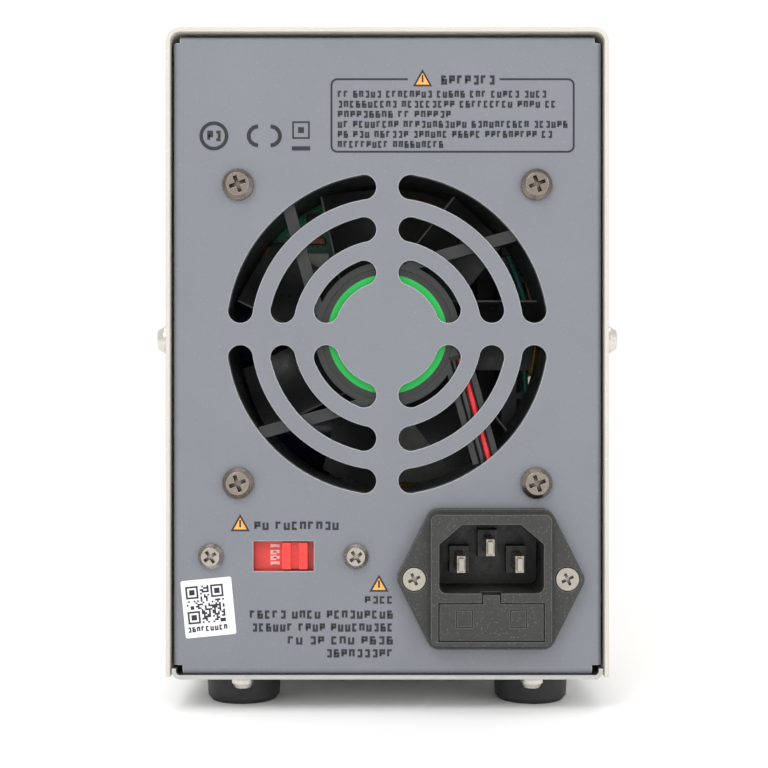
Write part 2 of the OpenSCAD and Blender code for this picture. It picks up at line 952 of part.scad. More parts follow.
module front_bezel() {
    w = case_w + 4;
    low = z_base - 1.5;
    high = z_top + 1.5;
    mid = (low + high) / 2;
    rim = case_w + 0.4;
    color([0.8, 0.79, 0.75])
        difference() {
            translate([0, 0, mid])
                plate_xz(y_face, bezel_d)
                    round_rect(w, high - low, 5);
            // Hollow behind the face, and the rebate that takes the cover's edge
            translate([0, 0, mid])
                plate_xz(y_face + face_t, bezel_d)
                    round_rect(rim - 1.8, high - low - 4.6, 3);
            translate([0, 0, (z_base + z_top) / 2])
                plate_xz(y_front_plate, bezel_d)
                    round_rect(rim, case_h + 0.4, cover_r + 0.2);
            // Window seat and the opening behind it
            translate([window_place[0], 0, z_base + window_place[1]]) {
                plate_xz(y_face - 1, 3.6)
                    round_rect(window_size[0], window_size[1], 2);
                plate_xz(y_face - 1, face_t + 2)
                    round_rect(window_size[0] - 4, window_size[1] - 4, 1);
            }
            for (place = key_places)
                translate([place[0], 0, z_base + place[1]])
                    plate_xz(y_face - 1, face_t + 2)
                        round_rect(key_size[0] + 0.6, key_size[1] + 0.6, 1.8);
            bar_y(over_base(knob_place), y_face - 1, y_face + face_t + 1, 3.7);
            translate([button_place[0], 0, z_base + button_place[1]])
                plate_xz(y_face - 1, face_t + 2)
                    round_rect(13.4, 13.4, 2.3);
            for (i = [0:2])
                bar_y([post_x0 + i * post_pitch, post_z], y_face - 1, y_face + face_t + 1, 4.3);
            // A shallow field round the binding posts
            translate([post_x0 + post_pitch, 0, post_z])
                plate_xz(y_face - 1, 1.5)
                    round_rect(58, 25, 3);
        }
}

module display_window() {
    color([0.25, 0.05, 0.05, 0.6])
        translate([window_place[0], 0, z_base + window_place[1]])
            plate_xz(y_face + 0.5, 2)
                round_rect(window_size[0] - 0.4, window_size[1] - 0.4, 1.8);
}

// Two four-digit modules over each other and a column of indicator lamps
module display_modules() {
    digit_w = 50.3;
    digit_h = 19;
    color([0.2, 0.2, 0.2])
        translate([window_place[0], 0, z_base + window_place[1]]) {
            for (row = [-1, 1])
                translate([-8, 0, row * 10.2])
                    plate_xz(board_front - 8, 8)
                        square([digit_w, digit_h], center = true);
            for (i = [0:4])
                translate([28, 0, 15 - 7.5 * i]) {
                    bar_y([0, 0], board_front - 6.5, board_front, 1.5);
                    bar_y([0, 0], board_front - 1, board_front, 1.9);
                }
        }
}

module front_board() {
    low = z_base + 62;
    high = z_base + 150;
    color("seagreen")
        difference() {
            plate_xz(board_front, board_t)
                translate([-49, low])
                    square([98, high - low]);
            for (sx = [-1, 1], z = [low + 4, high - 4])
                bar_y([sx * 44, z], board_front - 1, board_front + 3, 1.6);
        }
}

module tact_switches() {
    color([0.12, 0.12, 0.12])
        for (place = key_places)
            translate([place[0], 0, z_base + place[1]])
                difference() {
                    plate_xz(board_front - 4.3, 4.3)
                        square([6.2, 6.2], center = true);
                    bar_y([0, 0], board_front - 5, board_front - 2.7, 1.8);
                }
}

module key(place) {
    color([0.62, 0.62, 0.6])
        translate([place[0], 0, z_base + place[1]]) {
            plate_xz(y_face - 1.6, 5.3)
                round_rect(key_size[0], key_size[1], 1.5);
            plate_xz(y_face + face_t + 0.3, 1)
                round_rect(key_size[0] + 2.4, key_size[1] + 2.4, 1.5);
            bar_y([0, 0], y_face + face_t + 1, board_front - 3.4, 1.5);
        }
}

module key_1() {
    key(key_places[0]);
}

module key_2() {
    key(key_places[1]);
}

module key_3() {
    key(key_places[2]);
}

module key_4() {
    key(key_places[3]);
}

// The encoder: a box with a bush; the rotor turns inside it
module encoder_body() {
    place = over_base(knob_place);
    color("silver")
        difference() {
            union() {
                translate([place[0], 0, place[1]])
                    plate_xz(board_front - 6.4, 6.4)
                        square([12.4, 12.4], center = true);
                bar_y(place, y_face - 1.5, board_front - 6.3, 3.5);
            }
            bar_y(place, y_face - 3, board_front - 0.6, 3.05);
            bar_y(place, rotor_y[0] - 0.3, rotor_y[1] + 0.3, 5.4);
        }
}

module encoder_rotor() {
    place = over_base(knob_place);
    color("ivory")
        difference() {
            bar_y(place, rotor_y[0], rotor_y[1], 5.1);
            difference() {
                bar_y(place, rotor_y[0] - 1, rotor_y[1] + 1, shaft_half + 0.05);
                translate([place[0] + d_flat + 0.05, rotor_y[0] - 2, place[1] - 4])
                    cube([4, 6, 8]);
            }
        }
}

module encoder_shaft() {
    place = over_base(knob_place);
    color("silver")
        difference() {
            bar_y(place, y_face - knob_reach + 3, board_front - 1.3, shaft_half);
            translate([place[0] + d_flat, rotor_y[0] - 0.8, place[1] - 4])
                cube([4, 8, 8]);
        }
}

module control_knob() {
    place = over_base(knob_place);
    y0 = y_face - knob_reach;
    y1 = y_face - 1.2;
    flute_r = 1.6;
    color([0.13, 0.13, 0.13])
        difference() {
            union() {
                bar_y(place, y0 + 1.5, y1, knob_d / 2);
                translate([place[0], y0 + 1.5, place[1]])
                    rotate([90, 0, 0])
                        cylinder(r1 = knob_d / 2, r2 = knob_d / 2 - 1.5, h = 1.5);
            }
            bar_y(place, y1 - 4, y1 + 1, knob_d / 2 - 3.5);
            bar_y(place, y0 + 3, y1, shaft_half);
            for (i = [0:knob_flutes - 1])
                rotate_about(place, 360 / knob_flutes * i)
                    bar_y([knob_d / 2 + 0.9, 0], y0 - 1, y1 - 3, flute_r);
            // Finger dimple
            translate([place[0], y0 - 1.6, place[1] + knob_d / 2 - 5.5])
                sphere(3);
        }
}

// Turns its children about the Y axis through [x, z]
module rotate_about(place, turn) {
    translate([place[0], 0, place[1]])
        rotate([0, turn, 0])
            children();
}

module power_switch_body() {
    color([0.14, 0.14, 0.14])
        translate([button_place[0], 0, z_base + button_place[1]])
            difference() {
                plate_xz(y_face + 4, 22)
                    square([14.4, 14.4], center = true);
                plate_xz(y_face + 3, 12.5)
                    square([8.8, 8.8], center = true);
            }
}

module power_button() {
    color([0.75, 0.1, 0.08])
        translate([button_place[0], 0, z_base + button_place[1]]) {
            plate_xz(y_face - 4.5, 4.5)
                round_rect(12.8, 12.8, 2);
            plate_xz(y_face - 1, 10)
                square([8.1, 8.1], center = true);
        }
}

// Binding posts: insulating bases, hollow threaded studs, brass inserts and fluted caps
module post_bases() {
    color([0.1, 0.1, 0.1])
        for (i = [0:2]) {
            place = [post_x0 + i * post_pitch, post_z];
            difference() {
                union() {
                    bar_y(place, y_face - 2.5, y_face + 0.5, 7.2);
                    bar_y(place, y_face, y_face + face_t, 4.2);
                }
                bar_y(place, y_face - 4, y_face + face_t + 1, 3);
            }
            difference() {
                bar_y(place, y_face + face_t, y_face + face_t + 2, 6.5);
                bar_y(place, y_face, y_face + face_t + 3, 3);
            }
        }
}

module post_studs() {
    socket_l = 19.5;
    front = y_face - 14.5;
    color("gold")
        for (i = [0:2]) {
            place = [post_x0 + i * post_pitch, post_z];
            difference() {
                bar_y(place, front, y_face + 17, 3);
                bar_y(place, front - 1, front + socket_l, 2);
                // Hole for a bare wire, just over the base
                translate([place[0], y_face - 4.4, place[1] - 5])
                    cylinder(r = 1.1, h = 10);
            }
            translate([place[0], y_face + face_t + 2.1, place[1]])
                rotate([-90, 0, 0])
                    difference() {
                        cylinder(r = 5.5, h = 2.6, $fn = 6);
                        translate([0, 0, -1])
                            cylinder(r = 3, h = 5);
                    }
        }
}

module post_insert(i) {
    place = [post_x0 + i * post_pitch, post_z];
    color("gold")
        difference() {
            bar_y(place, y_face - 9.4, y_face - 6, 4.2);
            bar_y(place, y_face - 11, y_face - 2, 3.05);
        }
}

module post_cap(i, paint) {
    place = [post_x0 + i * post_pitch, post_z];
    y0 = y_face - 16;
    y1 = y_face - 2.9;
    color(paint)
        difference() {
            union() {
                bar_y(place, y0 + 1, y1, 6.3);
                translate([place[0], y0 + 1, place[1]])
                    rotate([90, 0, 0])
                        cylinder(r1 = 6.3, r2 = 5.3, h = 1);
            }
            bar_y(place, y_face - 9.5, y1 + 1, 4.25);
            bar_y(place, y_face - 15, y1, 3.4);
            bar_y(place, y0 - 1, y1, 2.5);
            for (k = [0:11])
                rotate_about(place, 30 * k)
                    bar_y([6.9, 0], y0 - 1, y1 - 2.2, 1.1);
        }
}

module post_insert_black() {
    post_insert(0);
}

module post_insert_green() {
    post_insert(1);
}

module post_insert_red() {
    post_insert(2);
}

module post_cap_black() {
    post_cap(0, [0.07, 0.07, 0.07]);
}

module post_cap_green() {
    post_cap(1, [0.05, 0.45, 0.15]);
}

module post_cap_red() {
    post_cap(2, [0.75, 0.05, 0.05]);
}

// ---------- inside ----------

// An EI core standing on the tray, with its legs upright
module transformer_core() {
    color("dimgray")
        translate([tr_x - tr_stack / 2, tr_y, z_floor])
            difference() {
                translate([0, -tr_len / 2, 0])
                    cube([tr_stack, tr_len, tr_high]);
                for (side = [-1, 1])
                    translate([-1, side * 1.5 * tr_leg - tr_leg / 2, tr_leg])
                        cube([tr_stack + 2, tr_leg, tr_high - 2 * tr_leg]);
            }
}

// A block in the coil's window: half sizes along x and y, over the height of the window
module coil_block(half, z0, h, r) {
    translate([tr_x, tr_y, z_floor + z0])
        linear_extrude(h)
            round_rect(2 * half[0], 2 * half[1], r);
}

module transformer_bobbin() {
    flange_t = 1.8;
    color("ivory")
        difference() {
            union() {
                coil_block(leg_half + [1.4, 1.4], coil_low, coil_high - coil_low, 0.5);
                for (z = [coil_low, coil_high - flange_t])
                    coil_block(leg_half + [14.5, 15.6], z, flange_t, 1);
            }
            coil_block(leg_half + [0.1, 0.1], coil_low - 1, coil_high - coil_low + 2, 0.05);
        }
}

module transformer_winding() {
    color("goldenrod")
        difference() {
            coil_block(leg_half + [13.6, 14.8], coil_low + 1.9, coil_high - coil_low - 3.8, 9);
            coil_block(leg_half + [1.5, 1.5], coil_low, coil_high - coil_low, 0.5);
        }
}

// A steel strap over the core, with a foot at each end
module transformer_frame() {
    half = tr_len / 2 + 0.1;
    strap_w = 44;
    color("lightgray")
        translate([tr_x, tr_y, z_floor])
            difference() {
                union() {
                    translate([-strap_w / 2, -half - strap_t, tr_high + 0.1])
                        cube([strap_w, 2 * (half + strap_t), strap_t]);
                    for (side = [-1, 1]) {
                        translate([-strap_w / 2, side * (half + strap_t / 2) - strap_t / 2, 0])
                            cube([strap_w, strap_t, tr_high + 1]);
                        translate([-strap_w / 2, side * (half + strap_foot / 2) - strap_foot / 2, 0])
                            cube([strap_w, strap_foot, strap_t]);
                    }
                }
                for (sx = [-1, 1], sy = [-1, 1])
                    translate([sx * strap_hole_x, sy * (tr_len / 2 + strap_hole_y), -1])
                        cylinder(r = screw_r + 0.1, h = 4);
            }
}

module main_board() {
    color("green")
        difference() {
            translate([main_x, main_y[0], main_z[0]])
                cube([board_t, main_y[1] - main_y[0], main_z[1] - main_z[0]]);
            for (y = [main_y[0] + 5, main_y[1] - 5], z = [main_z[0] + 5, main_z[1] - 5])
                bar_x([y, z], main_x - 1, main_x + 3, 1.7);
        }
}

// Brackets that hold the board and the heatsink on the tray
module inner_brackets() {
    post_w = 12;
    color("lightgray") {
        for (y = [main_y[0] + 2, main_y[1] - 2 - post_w]) {
            translate([main_x + board_t, y, z_floor])
                cube([1.2, post_w, main_z[0] + 12 - z_floor]);
            translate([main_x + board_t - 14, y, z_floor])
                cube([14, post_w, 1.2]);
        }
        for (y = [sink_y[0], sink_y[1] - post_w]) {
            translate([sink_x, y, z_floor])
                cube([1.2, post_w, sink_z[0] + 10 - z_floor]);
            translate([sink_x, y, z_floor])
                cube([14, post_w, 1.2]);
        }
    }
}

module filter_capacitors() {
    can_r = 11;
    can_l = 30;
    color([0.1, 0.1, 0.25])
        for (place = [[84, 68], [84, 94], [58, 68]]) {
            bar_x(place, main_x - can_l, main_x, can_r);
            bar_x(place, main_x - can_l - 0.6, main_x - can_l, can_r - 1.2);
        }
}

module relays() {
    color("royalblue")
        for (i = [0:2])
            translate([main_x - 15, 76 - 22 * i, 120])
                cube([15, 19, 16]);
}

module heatsink() {
    base_t = 4;
    fin_l = 15;
    fin_step = 7.6;
    color("silver")
        translate([sink_x - base_t, sink_y[0], sink_z[0]]) {
            cube([base_t, sink_y[1] - sink_y[0], sink_z[1] - sink_z[0]]);
            for (z = [0:fin_step:sink_z[1] - sink_z[0] - 2])
                translate([-fin_l, 0, z])
                    cube([fin_l + 1, sink_y[1] - sink_y[0], 1.6]);
        }
}

module power_transistors() {
    color([0.1, 0.1, 0.1])
        for (z = [70, 94, 118])
            difference() {
                translate([sink_x, 58, z])
                    cube([4.8, 15.6, 20]);
                bar_x([65.8, z + 16.2], sink_x - 1, sink_x + 6, 1.7);
            }
}

// Line and neutral run to the transformer's bobbin, the earth lead down to the tray
module mains_leads() {
    y0 = y_panel - 38;
    lead_r = 1.2;
    lane = [tr_x - 32, tr_x - 28.6];
    color("saddlebrown") {
        for (pin = [0, 1]) {
            x = inlet_x + pin_rows[pin][0];
            wire([[x, y0, z_inlet + pin_rows[pin][1]],
                [x, y0 - 9, z_inlet],
                [lane[pin] + 2 * pin, y0 - 24, z_floor + 9],
                [lane[pin], y0 - 38, z_floor + 8],
                [lane[pin], tr_y + 50, z_floor + 6],
                [lane[pin], tr_y + 28, z_floor + 7],
                [lane[pin], tr_y + 22, z_floor + coil_low - 0.8]], lead_r);
        }
        wire([[inlet_x, y0, z_inlet + pin_rows[2][1]],
            [inlet_x, y0 - 8, z_inlet],
            [inlet_x + 8, y0 - 14, z_floor + 12],
            [inlet_x + 8, y0 - 14, z_floor + 0.2]], lead_r);
    }
}

module secondary_leads() {
    top = z_floor + tr_high;
    color("gold")
        for (i = [0:3])
            wire([[tr_x + 29, tr_y - 9 + 6 * i, top - 15.6],
                [tr_x + 31, tr_y - 6 + 6 * i, top + 8],
                [tr_x + 38, tr_y + 10 + 8 * i, top + 24],
                [main_x - 1.2, tr_y + 24 + 9 * i, top + 22]], 1.1);
}

// A flat cable from the front board, folded across to the main board
module ribbon_cable() {
    wide = 12;
    start = board_front + board_t + 0.2;
    fold_y = main_y[0] + 2;
    color("lightgray")
        translate([-wide / 2, start, z_base + 112]) {
            cube([wide, fold_y + wide - start, 1.2]);
            translate([0, fold_y - start, 0])
                cube([main_x - 0.4 + wide / 2, wide, 1.2]);
        }
}

base_tray();
rear_panel();
top_cover();
front_plate();
front_bezel();
display_window();
display_modules();
front_board();
tact_switches();
encoder_body();
power_switch_body();
post_bases();
post_studs();
feet();
base_screws();
cover_screws();
fan_frame();
fan_stator();
fan_label();
fan_screws();
fan_leads();
inlet_housing();
inlet_pins();
inlet_screws();
selector_body();
selector_screws();
serial_sticker();
transformer_core();
transformer_bobbin();
transformer_winding();
transformer_frame();
main_board();
inner_brackets();
filter_capacitors();
relays();
power_transistors();
heatsink();
mains_leads();
secondary_leads();
ribbon_cable();
fan_rotor();
fan_shaft();
selector_slider();
fuse_drawer();
fuse_tubes();
fuse_caps();
encoder_rotor();
encoder_shaft();
control_knob();
power_button();
post_insert_black();
post_insert_green();
post_insert_red();
post_cap_black();
post_cap_green();
post_cap_red();
key_1();
key_2();
key_3();
key_4();
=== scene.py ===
"""Looks of a bench power supply, seen from behind: materials, prints, labels and wires.

Sizes are in millimetres and places in the part's own frame, until MM turns them into metres.
"""

import json
import math
import random

import bmesh
import bpy
from mathutils import Matrix, Vector


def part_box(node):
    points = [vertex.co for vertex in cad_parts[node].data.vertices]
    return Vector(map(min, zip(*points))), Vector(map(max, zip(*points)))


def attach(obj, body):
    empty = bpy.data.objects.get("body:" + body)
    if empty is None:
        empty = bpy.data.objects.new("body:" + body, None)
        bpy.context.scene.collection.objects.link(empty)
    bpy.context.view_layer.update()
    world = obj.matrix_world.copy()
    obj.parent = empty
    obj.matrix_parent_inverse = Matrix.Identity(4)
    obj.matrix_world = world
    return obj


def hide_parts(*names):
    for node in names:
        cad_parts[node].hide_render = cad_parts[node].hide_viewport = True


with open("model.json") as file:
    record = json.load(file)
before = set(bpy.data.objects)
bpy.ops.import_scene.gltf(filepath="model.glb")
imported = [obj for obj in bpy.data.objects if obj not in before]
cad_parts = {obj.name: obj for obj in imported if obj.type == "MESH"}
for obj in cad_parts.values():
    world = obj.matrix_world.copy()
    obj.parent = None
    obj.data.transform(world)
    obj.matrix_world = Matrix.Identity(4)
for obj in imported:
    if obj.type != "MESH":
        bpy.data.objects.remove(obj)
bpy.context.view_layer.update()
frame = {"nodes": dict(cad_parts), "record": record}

MM = 0.001


def middle(node):
    """The middle of a CAD node's box, in millimetres."""
    low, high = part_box(node)
    return (low + high) / 2 / MM


PANEL_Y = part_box("rear_panel")[1].y / MM
FACE_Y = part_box("front_bezel")[0].y / MM
BASE_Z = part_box("base_tray")[0].z / MM
FAN = middle("fan_frame")
FAN_FACE_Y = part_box("fan_frame")[1].y / MM
INLET_PINS = middle("inlet_pins")
SELECTOR = middle("selector_body")
KNOB = middle("control_knob")
BUTTON = middle("power_button")
STICKER = middle("serial_sticker")
WINDOW = middle("display_window")

# Where the CAD parts put the features that the added pieces follow
STRUT_TURN = 74.2
STRUT_OFFSET = 14.6
SELECTOR_SKIRT_DEPTH = 2.3
PIN_PITCH_HALF = 7
KEY_PLACES = ((-37, 86), (-15, 86), (-37, 70), (-15, 70))
DIGIT_ROWS = (-10.2, 10.2)
LAMP_TOP = 15
LAMP_STEP = 7.5
POST_PLACES = (-5, 14.05, 33.1)


# ---------- camera ----------

CAMERA_DISTANCE = 330
CAMERA_HEIGHT = 70.7
CAMERA_SHIFT = 0.8
SENSOR_WIDTH = 36
FRAME_WIDTH = 184.2


def make_camera():
    """Looks straight at the rear panel, so that the picture is FRAME_WIDTH wide there."""
    data = bpy.data.cameras.new("camera")
    data.sensor_width = SENSOR_WIDTH
    data.lens = SENSOR_WIDTH * CAMERA_DISTANCE / FRAME_WIDTH
    camera = bpy.data.objects.new("camera", data)
    camera.location = Vector((CAMERA_SHIFT, PANEL_Y + CAMERA_DISTANCE, BASE_Z + CAMERA_HEIGHT)) * MM
    camera.rotation_euler = (math.radians(90), 0, math.radians(180))
    bpy.context.scene.collection.objects.link(camera)
    bpy.context.scene.camera = camera


make_camera()


# ---------- shader building ----------

DUST = (0.6, 0.58, 0.54)


def put(tree, kind, inputs=None, **settings):
    """Adds a shader node, with its settings, and feeds its inputs with values or sockets."""
    made = tree.nodes.new("ShaderNode" + kind)
    for name, value in settings.items():
        setattr(made, name, value)
    for name, value in (inputs or {}).items():
        if isinstance(value, bpy.types.NodeSocket):
            tree.links.new(value, made.inputs[name])
        else:
            made.inputs[name].default_value = value
    return made


def noise(tree, size, detail=2.0, stretch=(1, 1, 1)):
    """Noise whose features are size across, and longer along an axis by its stretch."""
    where = put(tree, "TexCoord").outputs["Object"]
    scale = tuple(1 / (MM * size * s) for s in stretch)
    placed = put(tree, "VectorMath", {0: where, 1: scale}, operation="MULTIPLY").outputs[0]
    return put(tree, "TexNoise", {"Vector": placed, "Scale": 1.0, "Detail": detail}).outputs[0]


def between(tree, value, low, high, out_low=0.0, out_high=1.0):
    """Maps low..high to out_low..out_high, and stays inside it."""
    inputs = {"Value": value, "From Min": low, "From Max": high, "To Min": out_low, "To Max": out_high}
    return put(tree, "MapRange", inputs).outputs[0]


def blend(tree, factor, first, second):
    """A colour between first and second."""
    colours = [(*c, 1.0) if isinstance(c, tuple) else c for c in (first, second)]
    return put(tree, "Mix", {0: factor, 6: colours[0], 7: colours[1]}, data_type="RGBA").outputs[2]


def shade(colour, by):
    """The colour made lighter or darker."""
    return tuple(min(c * by, 1.0) for c in colour)


def edge_mask(tree, radius):
    """1 along sharp edges and 0 on flat faces, and the normal with those edges rounded."""
    rounded = put(tree, "Bevel", {"Radius": radius * MM}, samples=4).outputs[0]
    true = put(tree, "NewGeometry").outputs["Normal"]
    same = put(tree, "VectorMath", {0: rounded, 1: true}, operation="DOT_PRODUCT").outputs["Value"]
    return between(tree, same, 0.98, 0.8), rounded


def surface(name, colour, rough, mottle=(9, 0.06), specks=None, grain=(0.4, 0.02), brush=None,
            edge=None, crease=None, rough_spread=0.08, dust=0.0, **sockets):
    """A procedural material.

    mottle is (size, share) of slow colour change, specks (size, threshold, colour) of fine dots,
    grain (size, height) of fine relief, brush (height, stretch) of long scratches, and edge
    (radius, colour, strength) the painted highlight that lightens sharp edges. The recess option
    (size, colour) is painted shade that darkens recesses, and dust is how much pale dust lies on
    upward faces. sockets are constants of the shader.
    """
    material = bpy.data.materials.new(name)
    material.use_nodes = True
    tree = material.node_tree
    shader = tree.nodes["Principled BSDF"]
    for socket, value in sockets.items():
        shader.inputs[socket.replace("_", " ")].default_value = value
    size, share = mottle
    slow = noise(tree, size, 3.0)
    changed = between(tree, slow, 0.3, 0.7)
    paint = blend(tree, changed, shade(colour, 1 - share), shade(colour, 1 + share))
    if specks:
        dots = between(tree, noise(tree, specks[0], 1.0), specks[1], specks[1] + 0.07)
        paint = blend(tree, dots, paint, specks[2])
    normal = None
    if edge:
        # Painted highlight: sharp edges are lightened towards the edge colour, and their normals are
        # rounded.
        mask, normal = edge_mask(tree, edge[0])
        edge_highlight = put(tree, "Math", {0: mask, 1: edge[2]}, operation="MULTIPLY").outputs[0]
        paint = blend(tree, edge_highlight, paint, edge[1])
    if crease:
        # Painted shade: ambient occlusion darkens recesses towards the recess colour.
        shaded = put(tree, "AmbientOcclusion", {"Distance": crease[0] * MM}, samples=6)
        paint = blend(tree, between(tree, shaded.outputs["AO"], 0.35, 0.85), crease[1], paint)
    if dust:
        up = put(tree, "SeparateXYZ", {0: put(tree, "NewGeometry").outputs["Normal"]}).outputs[2]
        facing_up = between(tree, up, 0.5, 1.0, 0.0, dust)
        lying = put(tree, "Math", {0: facing_up, 1: slow}, operation="MULTIPLY").outputs[0]
        paint = blend(tree, lying, paint, DUST)
    tree.links.new(paint, shader.inputs["Base Color"])
    patchy = noise(tree, size * 0.4, 4.0)
    low, high = max(rough - rough_spread, 0.02), min(rough + rough_spread, 1.0)
    tree.links.new(between(tree, patchy, 0.3, 0.7, low, high), shader.inputs["Roughness"])
    relief = noise(tree, grain[0], 2.0)
    height = grain[1]
    if brush:
        relief = noise(tree, grain[0], 2.0, brush[1])
        height = brush[0]
    bump = put(tree, "Bump", {"Strength": 1.0, "Distance": height * MM, "Height": relief})
    if normal:
        tree.links.new(normal, bump.inputs["Normal"])
    tree.links.new(bump.outputs[0], shader.inputs["Normal"])
    return material


def powder_coat(name, colour, edge, **more):
    """Fine textured paint with a painted highlight along sharp edges."""
    settings = dict(mottle=(14, 0.025), specks=(0.5, 0.66, shade(colour, 1.22)), grain=(0.55, 0.02),
                    edge=edge)
    settings.update(more)
    return surface(name, colour, 0.5, **settings)


def plastic(name, colour, rough=0.42, **more):
    """Moulded plastic with a faint grain, soft edges and a painted highlight along them."""
    settings = dict(mottle=(7, 0.08), grain=(0.3, 0.012), edge=(0.22, shade(colour, 1.6), 0.5))
    settings.update(more)
    return surface(name, colour, rough, **settings)


def metal(name, colour, rough=0.3, **more):
    """Plated or bare metal with handling marks, and a painted highlight that brightens its edges."""
    settings = dict(mottle=(2.5, 0.06), grain=(0.6, 0.003), edge=(0.12, shade(colour, 1.5), 0.8),
                    rough_spread=0.06, Metallic=1.0)
    settings.update(more)
    return surface(name, colour, rough, **settings)


CREAM = (0.58, 0.543, 0.482)
GREY = (0.185, 0.195, 0.217)
BLACK = (0.022, 0.022, 0.022)

# Edge colours below are painted highlights along sharp edges, and recess colours are painted shade in
# recesses.
MATERIALS = {
    "cream_paint": powder_coat("cream_paint", CREAM, (0.3, (0.70, 0.67, 0.62), 0.5), dust=0.08),
    "grey_paint": powder_coat("grey_paint", GREY, (0.5, (0.62, 0.61, 0.60), 0.9)),
    "zinc_steel": metal("zinc_steel", (0.50, 0.50, 0.49), 0.4, grain=(0.5, 0.006),
                        brush=(0.006, (1, 12, 1))),
    # The screws' recess colours are painted shade in their cross recesses, and their light edge colours are
    # painted highlights on their rims.
    "nickel": metal("nickel", (0.40, 0.365, 0.32), 0.26, crease=(1.1, (0.05, 0.045, 0.04))),
    "zinc_screw": metal("zinc_screw", (0.60, 0.57, 0.52), 0.26, crease=(1.1, (0.07, 0.065, 0.06))),
    "bronze_screw": metal("bronze_screw", (0.27, 0.232, 0.20), 0.28, edge=(0.16, (0.62, 0.57, 0.52), 0.9),
                          crease=(1.4, (0.035, 0.03, 0.026))),
    "steel": metal("steel", (0.62, 0.62, 0.63), 0.24, brush=(0.004, (8, 1, 8))),
    "bezel_plastic": plastic("bezel_plastic", (0.50, 0.475, 0.42), 0.5, mottle=(9, 0.02),
                             grain=(0.35, 0.018)),
    "window": plastic("window", (0.62, 0.10, 0.085), 0.05, mottle=(30, 0.02), grain=(6, 0.0005), edge=None,
                      rough_spread=0.01, Transmission_Weight=0.95),
    "display": plastic("display", (0.012, 0.012, 0.012), 0.5),
    "board_green": plastic("board_green", (0.006, 0.17, 0.085), 0.3, mottle=(3, 0.15), grain=(0.8, 0.01)),
    "black_plastic": plastic("black_plastic", BLACK, 0.38, dust=0.06),
    # The inlet's light edge colour is a painted highlight on its rims, and its recess colour is painted
    # shade in its cavity.
    "inlet_plastic": plastic("inlet_plastic", (0.027, 0.027, 0.0255), 0.42, mottle=(4, 0.12),
                             grain=(0.42, 0.03), specks=(0.5, 0.62, (0.085, 0.085, 0.08)),
                             edge=(0.28, (0.27, 0.27, 0.26), 0.85), crease=(5, (0.006, 0.006, 0.006))),
    "fan_plastic": plastic("fan_plastic", (0.020, 0.020, 0.021), 0.34, edge=(0.2, (0.10, 0.10, 0.10), 0.6),
                           dust=0.05),
    "fan_label_green": plastic("fan_label_green", (0.003, 0.42, 0.062), 0.4, grain=(1.5, 0.004)),
    "copper": metal("copper", (0.55, 0.24, 0.10), 0.3, grain=(0.35, 0.04), brush=(0.04, (1, 9, 1))),
    "wire_red": plastic("wire_red", (0.62, 0.018, 0.022), 0.25),
    "wire_brown": plastic("wire_brown", (0.16, 0.07, 0.03), 0.3),
    "wire_yellow": plastic("wire_yellow", (0.80, 0.42, 0.02), 0.28),
    "ribbon_grey": plastic("ribbon_grey", (0.42, 0.42, 0.43), 0.4, grain=(0.5, 0.12),
                           brush=(0.12, (30, 1, 30))),
    "red_plastic": plastic("red_plastic", (0.74, 0.042, 0.034), 0.3, edge=(0.2, (0.88, 0.17, 0.14), 0.6)),
    "green_plastic": plastic("green_plastic", (0.015, 0.27, 0.06), 0.34),
    "white_paper": surface("white_paper", (0.84, 0.83, 0.87), 0.55, mottle=(5, 0.015), grain=(0.15, 0.004)),
    "core_steel": metal("core_steel", (0.12, 0.12, 0.125), 0.45, grain=(0.5, 0.05),
                        brush=(0.05, (1, 40, 40))),
    "bobbin_plastic": plastic("bobbin_plastic", (0.66, 0.62, 0.50), 0.42),
    "coil_tape": plastic("coil_tape", (0.60, 0.36, 0.03), 0.2, brush=(0.05, (30, 30, 1)), grain=(2.0, 0.05)),
    "capacitor_sleeve": plastic("capacitor_sleeve", (0.012, 0.014, 0.05), 0.25),
    "relay_blue": plastic("relay_blue", (0.02, 0.09, 0.36), 0.3),
    "chip_black": plastic("chip_black", (0.018, 0.018, 0.018), 0.5),
    "heatsink_alu": metal("heatsink_alu", (0.055, 0.055, 0.06), 0.42, grain=(0.4, 0.02),
                          brush=(0.01, (1, 20, 1))),
    "brass": metal("brass", (0.74, 0.52, 0.22), 0.22, brush=(0.003, (10, 1, 10))),
    "foot_rubber": surface("foot_rubber", (0.018, 0.018, 0.018), 0.62, mottle=(5, 0.15), grain=(0.35, 0.03),
                           edge=(0.5, (0.05, 0.05, 0.05), 0.5), dust=0.08),
    "fuse_glass": plastic("fuse_glass", (0.92, 0.96, 0.95), 0.06, Transmission_Weight=0.9),
    "key_plastic": plastic("key_plastic", (0.30, 0.30, 0.29), 0.45),
}
BLACK_INK = surface("black_ink", (0.014, 0.014, 0.016), 0.45, mottle=(2, 0.2), grain=(0.3, 0.002))
ORANGE_INK = surface("orange_ink", (0.92, 0.38, 0.085), 0.4, mottle=(2, 0.05), grain=(0.3, 0.002))
PINK_INK = surface("pink_ink", (0.86, 0.46, 0.42), 0.4, mottle=(2, 0.05), grain=(0.3, 0.002))
WHITE_INK = surface("white_ink", (0.80, 0.80, 0.78), 0.45, mottle=(2, 0.05), grain=(0.3, 0.002))
WIRE_BLACK = plastic("wire_black", (0.02, 0.02, 0.02), 0.25)
WIRE_TEAL = plastic("wire_teal", (0.01, 0.13, 0.12), 0.3)
WIRE_EARTH = plastic("wire_earth", (0.30, 0.42, 0.02), 0.28)
WIRE_BLUE = plastic("wire_blue", (0.02, 0.08, 0.42), 0.28)
DARK_INK = surface("dark_ink", (0.035, 0.04, 0.05), 0.45, mottle=(2, 0.1), grain=(0.3, 0.002))
